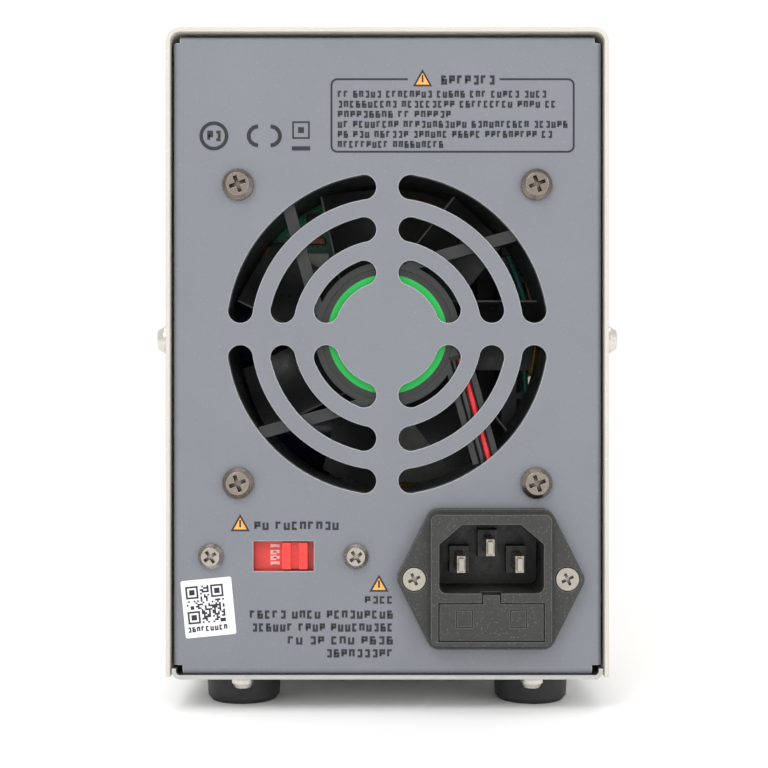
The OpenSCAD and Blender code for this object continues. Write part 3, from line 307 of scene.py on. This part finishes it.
SEGMENT = surface("segment", (0.46, 0.40, 0.38), 0.35, mottle=(2, 0.04), grain=(0.4, 0.002))
LENS_RED = plastic("lens_red", (0.55, 0.02, 0.015), 0.12, Transmission_Weight=0.35)
LENS_GREEN = plastic("lens_green", (0.05, 0.42, 0.08), 0.12, Transmission_Weight=0.35)
DISC_BROWN = plastic("disc_brown", (0.34, 0.10, 0.035), 0.3)
NYLON_WHITE = plastic("nylon_white", (0.62, 0.60, 0.54), 0.45)


def dress_cad_nodes():
    """Gives each CAD node the material of its slot in the record."""
    for row in frame["record"]["subparts"]:
        mesh = frame["nodes"][row["node"]].data
        mesh.materials.clear()
        mesh.materials.append(MATERIALS[row["material_slot"]])


dress_cad_nodes()


# ---------- flat marks ----------


def reading(origin, right, up):
    """A frame for marks: u to the right and v up as they are read, and w out of the surface."""
    right, up = Vector(right), Vector(up)
    turn = Matrix((right, up, right.cross(up))).transposed().to_4x4()
    return Matrix.Translation(Vector(origin)) @ turn


def arc(centre, radius, start, end, steps=24):
    """Points along an arc, from start to end in degrees."""
    angles = [math.radians(start + (end - start) * i / steps) for i in range(steps + 1)]
    return [(centre[0] + radius * math.cos(a), centre[1] + radius * math.sin(a)) for a in angles]


class Marks:
    """Thin closed areas of ink in one mesh, raised by lift over the surface."""

    def __init__(self, place, lift=0.005, thick=0.02):
        self.mesh = bmesh.new()
        self.place = place
        self.lift = lift
        self.thick = thick

    def area(self, outline):
        """A flat shape inside an outline of (u, v) points."""
        rings = []
        for w in (self.lift, self.lift + self.thick):
            corners = [self.place @ Vector((u, v, w)) * MM for u, v in outline]
            rings.append([self.mesh.verts.new(c) for c in corners])
        low, high = rings
        self.mesh.faces.new(high)
        self.mesh.faces.new(low[::-1])
        for i in range(len(outline)):
            j = (i + 1) % len(outline)
            self.mesh.faces.new((low[i], low[j], high[j], high[i]))

    def bar(self, left, low, width, height):
        """An upright rectangle."""
        right, high = left + width, low + height
        self.area([(left, low), (right, low), (right, high), (left, high)])

    def line(self, points, width, closed=False):
        """A line with mitred corners."""
        pts = [Vector(p) for p in points]
        count = len(pts)
        sides = []
        for i, p in enumerate(pts):
            before = pts[i - 1] if i or closed else p
            after = pts[(i + 1) % count] if i < count - 1 or closed else p
            runs = [b - a for a, b in ((before, p), (p, after))]
            directions = [run.normalized() for run in runs if run.length > 1e-6]
            mean = sum(directions, Vector((0, 0))).normalized()
            across = Vector((-mean.y, mean.x))
            grow = width / 2 / max(mean.dot(directions[0]), 0.35)
            sides.append((p + across * grow, p - across * grow))
        for i in range(count if closed else count - 1):
            a, b = sides[i], sides[(i + 1) % count]
            self.area([a[1], b[1], b[0], a[0]])

    def finish(self, name, body, material, slot):
        """Turns the marks into a piece."""
        add_piece(name, self.mesh, body, material)


def add_piece(name, mesh, body, material, smooth=False):
    """Turns a bmesh in the part's frame into a piece that rides on a CAD body."""
    data = bpy.data.meshes.new(name)
    bmesh.ops.recalc_face_normals(mesh, faces=mesh.faces)
    mesh.to_mesh(data)
    mesh.free()
    data.materials.append(material)
    data.polygons.foreach_set("use_smooth", [smooth] * len(data.polygons))
    piece = bpy.data.objects.new(name, data)
    bpy.context.scene.collection.objects.link(piece)
    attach(piece, body)


# Strokes of made-up characters, in a unit box
CHARACTERS = (
    ((0, 0), (0, 1), (1, 1), (1, 0)),
    ((1, 1), (0, 1), (0, 0), (1, 0)),
    ((0, 0), (0, 1), (1, 1), (1, 0.5), (0, 0.5)),
    ((0, 1), (0, 0), (1, 0), (1, 1)),
    ((0, 0.5), (1, 0.5), (1, 0), (0, 0), (0, 1), (1, 1)),
    ((0, 0), (0, 1), (1, 1)),
    ((0, 1), (1, 1), (1, 0), (0, 0)),
)


def text_row(marks, left, right, middle_v, height, words, dice):
    """A row of made-up words between left and right: words lists how many characters each has."""
    unit = (right - left) / (sum(words) + 0.6 * (len(words) - 1) - 0.25)
    pen = height * 0.27
    u = left + pen / 2
    for word in words:
        for _ in range(word):
            stroke = dice.choice(CHARACTERS)
            wide = unit * 0.76 - pen
            marks.line([(u + x * wide, middle_v + (y - 0.5) * (height - pen)) for x, y in stroke], pen)
            u += unit
        u += unit * 0.6


def triangle(centre_u, low, width, height):
    """The outline of an upright triangle on its base."""
    return [(centre_u - width / 2, low), (centre_u + width / 2, low), (centre_u, low + height)]


def warning_triangle(ink, fill, centre_u, low, width=4.6, height=4.1):
    """A black triangle with an orange field and a plain bar."""
    pen = 0.42
    outline = triangle(centre_u, low + pen / 2, width - 1.7 * pen, height - 1.5 * pen)
    ink.line(outline, pen, closed=True)
    fill.area(outline)
    ink.bar(centre_u - 0.22, low + 0.95, 0.44, 1.75)


# ---------- rear print ----------


def rounded_frame(left, right, low, high, radius, gap):
    """The outline of a rounded frame that starts and ends at a gap in its top line."""
    corners = [(right - radius, high - radius, 90, 0), (right - radius, low + radius, 0, -90),
               (left + radius, low + radius, -90, -180), (left + radius, high - radius, 180, 90)]
    points = [(gap[1], high)]
    for u, v, start, end in corners:
        points += arc((u, v), radius, start, end, 6)
    return points + [(gap[0], high)]


def rear_print():
    place = reading((0, PANEL_Y, BASE_Z), (-1, 0, 0), (0, 0, 1))
    ink, fill = Marks(place, thick=0.03), Marks(place, thick=0.015)
    dice = random.Random(5)
    # Framed notice with a title between two line ends
    ink.line(rounded_frame(-13.4, 44.7, 126.4, 143.8, 1.4, (4.9, 26.9)), 0.46)
    warning_triangle(ink, fill, 8.45, 142.1)
    text_row(ink, 12.9, 25.7, 143.6, 2.25, (7,), dice)
    notice = ((38.1, (2, 5, 8, 5, 3, 5, 4)), (40.4, (10, 9, 9, 4, 2)), (15.2, (9, 2, 6)),
              (43.2, (2, 8, 11, 10, 6)), (39.5, (2, 3, 6, 6, 5, 9, 2)), (13.4, (9, 9)))
    for row, (right, words) in enumerate(notice):
        text_row(ink, -11.9, right, 140.2 - 2.41 * row, 1.72, words, dice)
    # Three plain marks: a ring with two characters, two facing arcs, and a square over a bar
    marks_v = 130.2
    ink.line(arc((-41.6, marks_v), 3.05, 0, 352, 40), 0.85, closed=True)
    text_row(ink, -43.2, -40.0, marks_v, 2.5, (2,), dice)
    for centre_u, start in ((-31.0, 90), (-28.0, -90)):
        ink.line(arc((centre_u, marks_v), 2.25, start, start + 180), 0.95)
    square_u, square_v = -20.7, 131.6
    corners = [(square_u + 1.9 * x, square_v + 1.9 * y) for x, y in ((-1, -1), (1, -1), (1, 1), (-1, 1))]
    ink.line(corners, 0.4, closed=True)
    ink.bar(square_u - 0.7, square_v - 0.7, 1.4, 1.4)
    ink.bar(square_u - 2.2, square_v - 4.9, 4.4, 1.0)
    # Selector and fuse legends
    warning_triangle(ink, fill, -35.3, 35.4)
    text_row(ink, -31.9, -11.7, 36.7, 2.05, (2, 8), dice)
    warning_triangle(ink, fill, -2.0, 20.9)
    legend = ((-5.4, 18.9, 1.8, (4,)), (-33.0, 15.4, 2.0, (5, 4, 9)), (-32.5, 12.3, 2.0, (6, 4, 9)),
              (-23.9, 9.2, 2.0, (2, 2, 3, 4)), (-14.7, 6.1, 2.0, (9,)))
    for left, v, height, words in legend:
        text_row(ink, left, 1.3, v, height, words, dice)
    ink.finish("rear_print", "chassis", BLACK_INK, "black_plastic")
    fill.finish("rear_print_orange", "chassis", ORANGE_INK, "wire_yellow")


rear_print()


def sticker_print():
    """A made-up block pattern with three corner squares, and a row of made-up characters."""
    turned = Matrix.Rotation(math.radians(5.5), 4, "Z")
    face_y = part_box("serial_sticker")[1].y / MM
    ink = Marks(reading((STICKER.x, face_y, STICKER.z), (-1, 0, 0), (0, 0, 1)) @ turned)
    dice = random.Random(11)
    count, cell = 21, 0.43
    left, low = -0.6 - count * cell / 2, 0.9 - count * cell / 2
    corners = ((0, 0), (0, count - 7), (count - 7, count - 7))
    for col, row in corners:
        centre = (left + (col + 3.5) * cell, low + (row + 3.5) * cell)
        square = [(centre[0] + sx * 3 * cell, centre[1] + sy * 3 * cell)
                  for sx, sy in ((-1, -1), (1, -1), (1, 1), (-1, 1))]
        ink.line(square, cell, closed=True)
        ink.bar(centre[0] - 1.5 * cell, centre[1] - 1.5 * cell, 3 * cell, 3 * cell)
    for row in range(count):
        for col in range(count):
            near = any(c - 1 <= col <= c + 7 and r - 1 <= row <= r + 7 for c, r in corners)
            if not near and dice.random() < 0.48:
                ink.bar(left + col * cell, low + row * cell, cell, cell)
    text_row(ink, left - 0.3, left + 9.2, low - 1.35, 1.25, (9,), dice)
    ink.finish("sticker_print", "chassis", BLACK_INK, "black_plastic")


sticker_print()


def selector_print():
    """Pale made-up characters down the slider's flat face."""
    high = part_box("selector_slider")[1]
    skirt_y = PANEL_Y - SELECTOR_SKIRT_DEPTH
    place = reading((high.x / MM - 5.9, skirt_y, SELECTOR.z), (0, 0, -1), (-1, 0, 0))
    ink = Marks(place)
    text_row(ink, -2.6, 2.6, 0, 2.2, (4,), random.Random(3))
    ink.finish("selector_print", "selector", PINK_INK, "red_plastic")


selector_print()


# ---------- wires ----------


def wire(name, points, radius, material):
    """A round wire through points, in millimetres."""
    data = bpy.data.curves.new(name, "CURVE")
    data.dimensions = "3D"
    data.bevel_depth = radius * MM
    data.bevel_resolution = 4
    data.resolution_u = 10
    data.use_fill_caps = True
    spline = data.splines.new("BEZIER")
    spline.bezier_points.add(len(points) - 1)
    for knot, point in zip(spline.bezier_points, points):
        knot.co = Vector(point) * MM
        knot.handle_left_type = knot.handle_right_type = "AUTO"
    data.materials.append(material)
    piece = bpy.data.objects.new(name, data)
    bpy.context.scene.collection.objects.link(piece)
    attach(piece, "chassis")
    return piece


def fan_leads():
    """The two leads in the wide strut's channel, and on to the main board."""
    turn = math.radians(STRUT_TURN)
    along = Vector((-math.cos(turn), -math.sin(turn)))
    across = Vector((-math.sin(turn), math.cos(turn)))
    lead_y = FAN_FACE_Y - 1.5
    under = FAN.z - 41.9
    board_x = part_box("main_board")[0].x / MM
    leads = (("red", 1, MATERIALS["wire_red"]), ("black", -1, WIRE_BLACK))
    for name, side, material in leads:
        shift = STRUT_OFFSET + 0.85 * side
        groove = [along * s + across * shift for s in (10.5, 28, 40, 45)]
        out = along * 47 + across * shift
        points = [(p.x, lead_y, FAN.z + p.y) for p in groove]
        points += [(out.x, lead_y - 1, under), (out.x, lead_y - 4, under), (out.x, lead_y - 14, under),
                   (out.x + 1, 96, under), (-4, 80 - 2 * side, under), (30, 70 - 2 * side, under + 1),
                   (board_x - 0.8, 66 - 2 * side, under + 2)]
        wire(f"fan_lead_{name}", points, 0.7, material)
    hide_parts("fan_leads")


fan_leads()


def mains_leads():
    """From the inlet's pins: brown and blue to the transformer, and earth to the tray."""
    pins_x, start_y = INLET_PINS.x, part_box("inlet_pins")[0].y / MM - 1
    row_z = BASE_Z + 27.55
    tray_z = BASE_Z + 1
    ends = (("brown", -PIN_PITCH_HALF, -36, MATERIALS["wire_brown"]),
            ("blue", PIN_PITCH_HALF, -32.6, WIRE_BLUE))
    for name, pin, lane, material in ends:
        side = 2 if pin > 0 else 0
        points = [(pins_x + pin, start_y, row_z), (pins_x + pin, start_y - 9, row_z - 3.35),
                  (lane + side, start_y - 24, tray_z + 9), (lane, start_y - 38, tray_z + 8),
                  (lane, 24.5, tray_z + 6), (lane, 2.5, tray_z + 7), (lane, -3.5, tray_z + 17.4)]
        wire(f"mains_lead_{name}", points, 1.2, material)
    points = [(pins_x, start_y, row_z + 4), (pins_x, start_y - 8, row_z - 3.35),
              (pins_x + 8, start_y - 14, tray_z + 12), (pins_x + 8, start_y - 14, tray_z + 0.2)]
    wire("mains_lead_earth", points, 1.2, WIRE_EARTH)
    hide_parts("mains_leads")


def secondary_leads():
    """From the transformer's coil to the main board."""
    board_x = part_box("main_board")[0].x / MM
    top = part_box("transformer_core")[1].z / MM
    for i in range(4):
        points = [(25, -34.5 + 6 * i, top - 15.6), (27, -31.5 + 6 * i, top + 8),
                  (34, -15.5 + 8 * i, top + 24), (board_x - 1.2, -1.5 + 9 * i, top + 22)]
        name = f"secondary_lead_{i + 1}"
        wire(name, points, 1.1, MATERIALS["wire_yellow"])
    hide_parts("secondary_leads")


def thermostat_leads():
    """Two leads from a small thermostat on the heatsink, down behind the fan to the main board."""
    board_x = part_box("main_board")[0].x / MM
    for name, side, material in (("yellow", -1, MATERIALS["wire_yellow"]), ("teal", 1, WIRE_TEAL)):
        points = [(-32.4 + side, 97.2, 112.6), (-34.8 + 1.2 * side, 98.6, 107),
                  (-37.6 + 1.1 * side, 98.7, 96), (-36.9 + 1.2 * side, 98.6, 82),
                  (-38 + side, 98.5, 68), (-37 + side, 96.8, 55),
                  (-36.5 + side, 90, 49.8), (-34 + side, 73 - side, 49.4), (-18, 61 - side, 49.4),
                  (12, 59 - side, 49.4), (board_x - 0.9, 58.6 - side, 50.5)]
        wire(f"thermostat_lead_{name}", points, 0.8, material)


mains_leads()
secondary_leads()
thermostat_leads()


# ---------- small solids ----------


def add_block(mesh, low, high, radius):
    """Adds a box with rounded edges, in millimetres."""
    verts = bmesh.ops.create_cube(mesh, size=1)["verts"]
    for vert in verts:
        vert.co = Vector([(a + b) / 2 + c * (b - a) for a, b, c in zip(low, high, vert.co)]) * MM
    edges = list({edge for vert in verts for edge in vert.link_edges})
    bmesh.ops.bevel(mesh, geom=edges, offset=radius * MM, segments=2, profile=0.5, affect="EDGES")


def add_turned(mesh, place, profile, sides=28):
    """Adds a turned solid: profile lists (radius, height) along the place's w axis."""
    rings = []
    for radius, height in profile:
        angles = [2 * math.pi * i / sides for i in range(sides)]
        ring = [place @ Vector((radius * math.cos(a), radius * math.sin(a), height)) for a in angles]
        rings.append([mesh.verts.new(point * MM) for point in ring])
    mesh.faces.new(rings[0][::-1])
    mesh.faces.new(rings[-1])
    for low, high in zip(rings, rings[1:]):
        for i in range(sides):
            j = (i + 1) % sides
            mesh.faces.new((low[i], low[j], high[j], high[i]))


def fan_control_board():
    """A small board on the main board's rear edge, whose parts show through the grille."""
    back_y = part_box("main_board")[1].y / MM + 0.05
    face_y = back_y + 1.6
    right_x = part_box("main_board")[1].x / MM - 0.2
    board = bmesh.new()
    add_block(board, (13, back_y, 106), (right_x, face_y, 132), 0.15)
    add_piece("fan_control_board", board, "chassis", MATERIALS["board_green"])
    groups = (
        ("nylon", NYLON_WHITE, "bobbin_plastic", ((15, 108, 8, 4.6, 2.6), (31, 125, 6, 4, 2.4))),
        ("chips", MATERIALS["chip_black"], "chip_black", ((26, 111, 9, 4.5, 1.4), (16, 119, 5, 4, 1.2),
                                                         (37, 108, 5, 6, 1.8))),
        ("trimmers", MATERIALS["relay_blue"], "relay_blue", ((24, 119, 4.6, 4.6, 2.4),)),
        ("resistors", DISC_BROWN, "wire_brown", ((16, 115, 6.5, 1.8, 1.6), (16, 127, 6.5, 1.8, 1.6),
                                                 (25, 127.5, 1.8, 3.4, 1.5))),
    )
    for name, material, slot, parts in groups:
        mesh = bmesh.new()
        for x, z, wide, tall, thick in parts:
            add_block(mesh, (x, face_y + 0.01, z), (x + wide, face_y + thick, z + tall), 0.3)
        add_piece(f"fan_control_{name}", mesh, "chassis", material)
    discs = bmesh.new()
    for x, z, radius in ((33, 120, 2.4), (38.5, 121, 2.4), (31, 112.5, 1.9)):
        place = reading((x, face_y + 0.01, z), (-1, 0, 0), (0, 0, 1))
        add_turned(discs, place, ((radius - 0.3, 0), (radius, 0.3), (radius, 2.2), (radius - 0.4, 2.6)))
    add_piece("fan_control_discs", discs, "chassis", DISC_BROWN)
    switch = bmesh.new()
    add_block(switch, (-34.6, 96.03, 112), (-29.8, 98.3, 119), 0.4)
    add_piece("thermostat", switch, "chassis", MATERIALS["chip_black"])


fan_control_board()


# ---------- front ----------


def face_place(x, y, z):
    """A frame for marks on a face towards the front."""
    return reading((x, y, z), (1, 0, 0), (0, 0, 1))


def segments(marks, u, v, wide, high, pen):
    """The seven segments of a digit and its point, leaning to the right."""
    half, gap, lean = pen / 2, 0.22, 0.14
    left, right, low, top = u - wide / 2, u + wide / 2, v - high / 2, v + high / 2
    runs = [((left, y), (right, y)) for y in (low, v, top)]
    runs += [((x, y), (x, y + high / 2)) for x in (left, right) for y in (low, v)]
    for a, b in runs:
        a, b = Vector(a), Vector(b)
        along = (b - a).normalized()
        across = Vector((-along.y, along.x))
        a, b = a + along * gap, b - along * gap
        outline = [a, a + (along + across) * half, b + (across - along) * half, b,
                   b - (along + across) * half, a + (along - across) * half]
        marks.area([(p.x + (p.y - v) * lean, p.y) for p in outline])
    marks.area(arc((right + 1.35, low), 0.62, 0, 345, 12))


def display_faces():
    """Unlit digits, and the lenses of the indicator lamps."""
    face_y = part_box("display_modules")[0].y / MM
    digits = Marks(face_place(-8, face_y, WINDOW.z), lift=0.01, thick=0.06)
    for row_v in DIGIT_ROWS:
        for i in range(4):
            segments(digits, (i - 1.5) * 12.3 - 0.6, row_v, 6.6, 12.6, 1.35)
    digits.finish("display_digits", "chassis", SEGMENT, "display")
    for name, rows, material, slot in (("green", (0, 1), LENS_GREEN, "green_plastic"),
                                       ("red", (2, 3, 4), LENS_RED, "red_plastic")):
        lenses = bmesh.new()
        for i in rows:
            place = face_place(28, face_y + 1.5, WINDOW.z + LAMP_TOP - LAMP_STEP * i)
            dome = [(1.45 * math.cos(t), 0.02 + 1.3 * math.sin(t)) for t in (0, 0.35, 0.7, 1.05, 1.4)]
            add_turned(lenses, place, dome)
        add_piece(f"indicator_lenses_{name}", lenses, "chassis", material, smooth=True)


def window_print():
    """A dark border, unit marks and a legend for each lamp, on the window's face."""
    face_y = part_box("display_window")[0].y / MM
    ink = Marks(face_place(0, face_y, WINDOW.z))
    for low, high in ((-22.6, -20.6), (20.6, 22.6)):
        ink.bar(-36.5, low, 73, high - low)
    for left in (-37.4, 35.4):
        ink.bar(left, -20.6, 2.0, 41.2)
    ink.finish("window_border", "chassis", BLACK_INK, "black_plastic")
    pale = Marks(face_place(0, face_y, WINDOW.z))
    dice = random.Random(8)
    for i in range(5):
        text_row(pale, 30.4, 34.4, LAMP_TOP - LAMP_STEP * i, 1.5, (3,), dice)
    for row_v in DIGIT_ROWS:
        text_row(pale, 19.2, 22.2, row_v - 4.6, 2.6, (1,), dice)
    pale.finish("window_legends", "chassis", WHITE_INK, "white_paper")


def front_print():
    """Generic symbols by the controls and the posts."""
    ink = Marks(face_place(0, FACE_Y, BASE_Z))
    dice = random.Random(21)
    for x, z in KEY_PLACES:
        text_row(ink, x - 4.2, x + 4.2, z - 6.6, 1.7, (5,), dice)
    ink.bar(-48, 98.6, 96, 0.45)
    ink.bar(-48, 56.4, 96, 0.45)
    # Two turning arrows over the knob
    knob_u, knob_v = KNOB.x, KNOB.z - BASE_Z
    ink.line(arc((knob_u, knob_v), 15.6, 100, 140, 10), 0.55)
    ink.line(arc((knob_u, knob_v), 15.6, 40, 80, 10), 0.55)
    for turn, way in ((142, 1), (38, -1)):
        base, tip = math.radians(turn - 4 * way), math.radians(turn + 7 * way)
        ink.area([(knob_u + 14.5 * math.cos(base), knob_v + 14.5 * math.sin(base)),
                  (knob_u + 16.7 * math.cos(base), knob_v + 16.7 * math.sin(base)),
                  (knob_u + 15.6 * math.cos(tip), knob_v + 15.6 * math.sin(tip))][::way])
    text_row(ink, knob_u - 5, knob_u + 5, knob_v - 17, 1.8, (6,), dice)
    # Minus, earth and plus over the posts
    signs_v = 45.6
    minus_u, earth_u, plus_u = POST_PLACES
    ink.bar(minus_u - 2.2, signs_v - 0.4, 4.4, 0.8)
    ink.bar(plus_u - 2.2, signs_v - 0.4, 4.4, 0.8)
    ink.bar(plus_u - 0.4, signs_v - 2.2, 0.8, 4.4)
    ink.bar(earth_u - 0.35, signs_v + 0.4, 0.7, 2.2)
    for i, wide in enumerate((4.4, 2.8, 1.2)):
        ink.bar(earth_u - wide / 2, signs_v - 0.3 - 1.15 * i, wide, 0.6)
    ink.line([(minus_u, 42.6), (minus_u, 41.6), (plus_u, 41.6), (plus_u, 42.6)], 0.4)
    text_row(ink, -41.5, -30.5, 18.3, 1.8, (5,), dice)
    ink.finish("front_print", "chassis", DARK_INK, "black_plastic")


def control_marks():
    """A power sign on the button, and a plain sign on each key."""
    button = Marks(face_place(BUTTON.x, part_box("power_button")[0].y / MM, BUTTON.z))
    button.line(arc((0, 0), 3.1, 122, 418, 30), 0.75)
    button.bar(-0.4, 0.6, 0.8, 3.4)
    button.finish("power_sign", "power_button", WHITE_INK, "white_paper")
    square = [(-1.6, -1.5), (1.6, -1.5), (1.6, 1.5), (-1.6, 1.5)]
    signs = (
        ("key_1", lambda key: key.area([(-1.9, -1.2), (1.9, -1.2), (0, 1.9)])),
        ("key_2", lambda key: key.area([(-1.9, 1.2), (0, -1.9), (1.9, 1.2)])),
        ("key_3", lambda key: key.line(arc((0, 0), 1.7, 0, 354, 30), 0.6, closed=True)),
        ("key_4", lambda key: key.line(square, 0.6, closed=True)),
    )
    for node, draw in signs:
        centre = middle(node)
        key = Marks(face_place(centre.x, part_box(node)[0].y / MM, centre.z))
        draw(key)
        key.finish(f"{node}_sign", node, WHITE_INK, "white_paper")


display_faces()
window_print()
front_print()
control_marks()


# ---------- studio ----------


def add_light(name, place, size, power, target=(0, 0, 80)):
    """A soft rectangular light that shines from a place on a target."""
    data = bpy.data.lights.new(name, "AREA")
    data.shape = "RECTANGLE"
    data.size, data.size_y = size[0] * MM, size[1] * MM
    data.energy = power
    light = bpy.data.objects.new(name, data)
    light.location = Vector(place) * MM
    aim = Vector(target) - Vector(place)
    light.rotation_euler = aim.to_track_quat("-Z", "Y").to_euler()
    bpy.context.scene.collection.objects.link(light)


def make_studio():
    """A pale floor, an even white world and three soft lights, the key one behind and above."""
    floor_mesh = bmesh.new()
    bmesh.ops.create_grid(floor_mesh, x_segments=1, y_segments=1, size=6)
    data = bpy.data.meshes.new("studio_floor")
    floor_mesh.to_mesh(data)
    floor_mesh.free()
    data.materials.append(surface("studio_floor", (0.97, 0.97, 0.97), 0.8, mottle=(400, 0.003),
                                  grain=(4, 0.01)))
    floor = bpy.data.objects.new("studio_floor", data)
    bpy.context.scene.collection.objects.link(floor)
    world = bpy.data.worlds.new("studio")
    world.use_nodes = True
    sky = world.node_tree
    sky.nodes["Background"].inputs[0].default_value = (1.0, 1.0, 1.0, 1.0)
    sky.nodes["Background"].inputs[1].default_value = 1.04
    bpy.context.scene.world = world
    bpy.context.scene.view_settings.view_transform = "Standard"
    add_light("key", (360, 720, 760), (420, 420), 3, (0, 120, 80))
    add_light("side", (-620, 560, 300), (300, 500), 1.2, (0, 120, 80))
    add_light("top", (0, 0, 900), (700, 700), 1.5)


make_studio()
